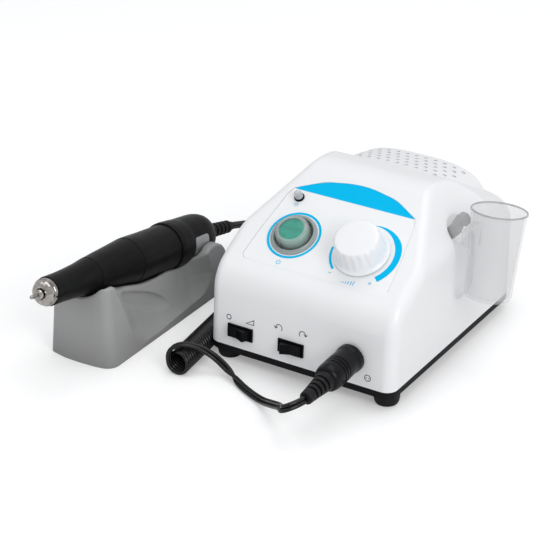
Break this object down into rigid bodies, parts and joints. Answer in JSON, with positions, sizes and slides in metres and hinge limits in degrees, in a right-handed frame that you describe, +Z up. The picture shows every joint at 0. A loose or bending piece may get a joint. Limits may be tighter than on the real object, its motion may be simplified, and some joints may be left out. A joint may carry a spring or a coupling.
{
  "type": "desktop nail drill machine",
  "caption": "Desktop nail drill machine: control box with speed knob, power button and rocker switches, a rotary handpiece resting on its cradle, coiled cord and clip-on dust cup.",
  "frame": {"origin": "centre of the footprint of the whole set on the table, cords left out, at floor height", "axes": "+Z up, +Y from the front with the switches to the rear with the mains inlet, +X to the right of the control box as its user sees it"},
  "size_m": [0.2457, 0.2541, 0.1021],
  "materials": {
    "housing_white": "satin moulded",
    "panel_white": "printed film with blue markings",
    "knob_white": "satin moulded",
    "base_black": "fine grain",
    "rubber_black": "matt",
    "steel": "plain",
    "switch_black": "satin",
    "clear_grey": "clear soft",
    "green_lens": "translucent",
    "lamp_clear": "clear",
    "plug_black": "satin moulded",
    "brass": "plain",
    "board_green": "solder mask",
    "capacitor_blue": "sleeve",
    "aluminium": "plain",
    "iron": "laminated",
    "winding_tape": "taped copper winding",
    "cup_frosted": "frosted clear",
    "bracket_smoke": "clear smoke",
    "cradle_grey": "satin moulded",
    "chrome": "polished",
    "hand_black": "satin with fine lengthwise lines",
    "sticker_silver": "foil sticker",
    "magnet_grey": "plain",
    "cord_black": "satin twin lead"
  },
  "bodies": {
    "machine": {"top_housing": "housing_white", "panel_overlay": "panel_white", "base_tray": "base_black", "rubber_feet": "rubber_black", "base_screws": "steel", "power_switch_body": "switch_black", "power_boot_ring": "clear_grey", "speed_potentiometer": "steel", "potentiometer_nut": "steel", "lamp_bezel": "switch_black", "lamp_lens": "lamp_clear", "selector_rocker_frame": "switch_black", "direction_rocker_frame": "switch_black", "motor_socket": "switch_black", "motor_plug": "plug_black", "plug_strain_relief": "rubber_black", "power_inlet": "switch_black", "inlet_pins": "brass", "fuse_holder": "switch_black", "pedal_jack": "switch_black", "jack_nut": "steel", "circuit_board": "board_green", "board_screws": "steel", "capacitors": "capacitor_blue", "heat_sink": "aluminium", "transformer_core": "iron", "transformer_winding": "winding_tape", "cup_bracket": "bracket_smoke", "handpiece_cradle": "cradle_grey", "cradle_pads": "rubber_black", "coil_cord": "cord_black", "lead_cord": "cord_black", "handpiece_cord": "cord_black"},
    "power_button": {"power_cap": "green_lens", "power_cap_cover": "clear_grey"},
    "speed_dial": {"speed_knob": "knob_white", "potentiometer_shaft": "steel"},
    "selector_switch": {"selector_rocker": "switch_black"},
    "direction_switch": {"direction_rocker": "switch_black"},
    "cup": {"dust_cup": "cup_frosted"},
    "handpiece": {"nose_cone": "chrome", "nose_ring": "chrome", "nose_sleeve": "hand_black", "motor_shell": "hand_black", "rear_cap": "hand_black", "cap_sticker": "sticker_silver", "spindle_housing": "aluminium", "spindle_bearings": "steel", "motor_can": "steel", "motor_magnets": "magnet_grey", "carbon_brushes": "magnet_grey", "handpiece_strain_relief": "rubber_black"},
    "chuck_sleeve": {"twist_sleeve": "hand_black"},
    "spindle": {"bur_shank": "steel", "collet_nut": "chrome", "spindle_shaft": "steel", "motor_rotor": "iron"}
  },
  "joints": [
    {"name": "power_press", "type": "slide", "parent": "machine", "child": "power_button", "axis": [0, 0.495, -0.8689], "range_m": [0, 0.002], "stiffness_N_per_m": 500, "springref_m": -0.002},
    {"name": "speed_turn", "type": "hinge", "parent": "machine", "child": "speed_dial", "pos_m": [0.04465, -0.00943, 0.081], "axis": [0, -0.495, 0.8689], "range_deg": [-140, 140]},
    {"name": "selector_rock", "type": "hinge", "parent": "machine", "child": "selector_switch", "pos_m": [-0.01635, -0.03842, 0.02234], "axis": [0, 0.0698, 0.9976], "range_deg": [0, 26]},
    {"name": "direction_rock", "type": "hinge", "parent": "machine", "child": "direction_switch", "pos_m": [0.0181, -0.03842, 0.02234], "axis": [0, 0.0698, 0.9976], "range_deg": [-26, 0]},
    {"name": "cup_unclip", "type": "slide", "parent": "machine", "child": "cup", "axis": [1, 0, 0], "range_m": [0, 0.045]},
    {"name": "handpiece_lift", "type": "slide", "parent": "machine", "child": "handpiece", "axis": [0, 0, 1], "range_m": [0, 0.08]},
    {"name": "chuck_twist", "type": "hinge", "parent": "handpiece", "child": "chuck_sleeve", "pos_m": [-0.09985, -0.0503, 0.04714], "axis": [0, 0.9842, -0.1771], "range_deg": [0, 60]},
    {"name": "spindle_spin", "type": "hinge", "parent": "handpiece", "child": "spindle", "pos_m": [-0.09985, -0.0503, 0.04714], "axis": [0, 0.9842, -0.1771], "continuous": true}
  ]
}
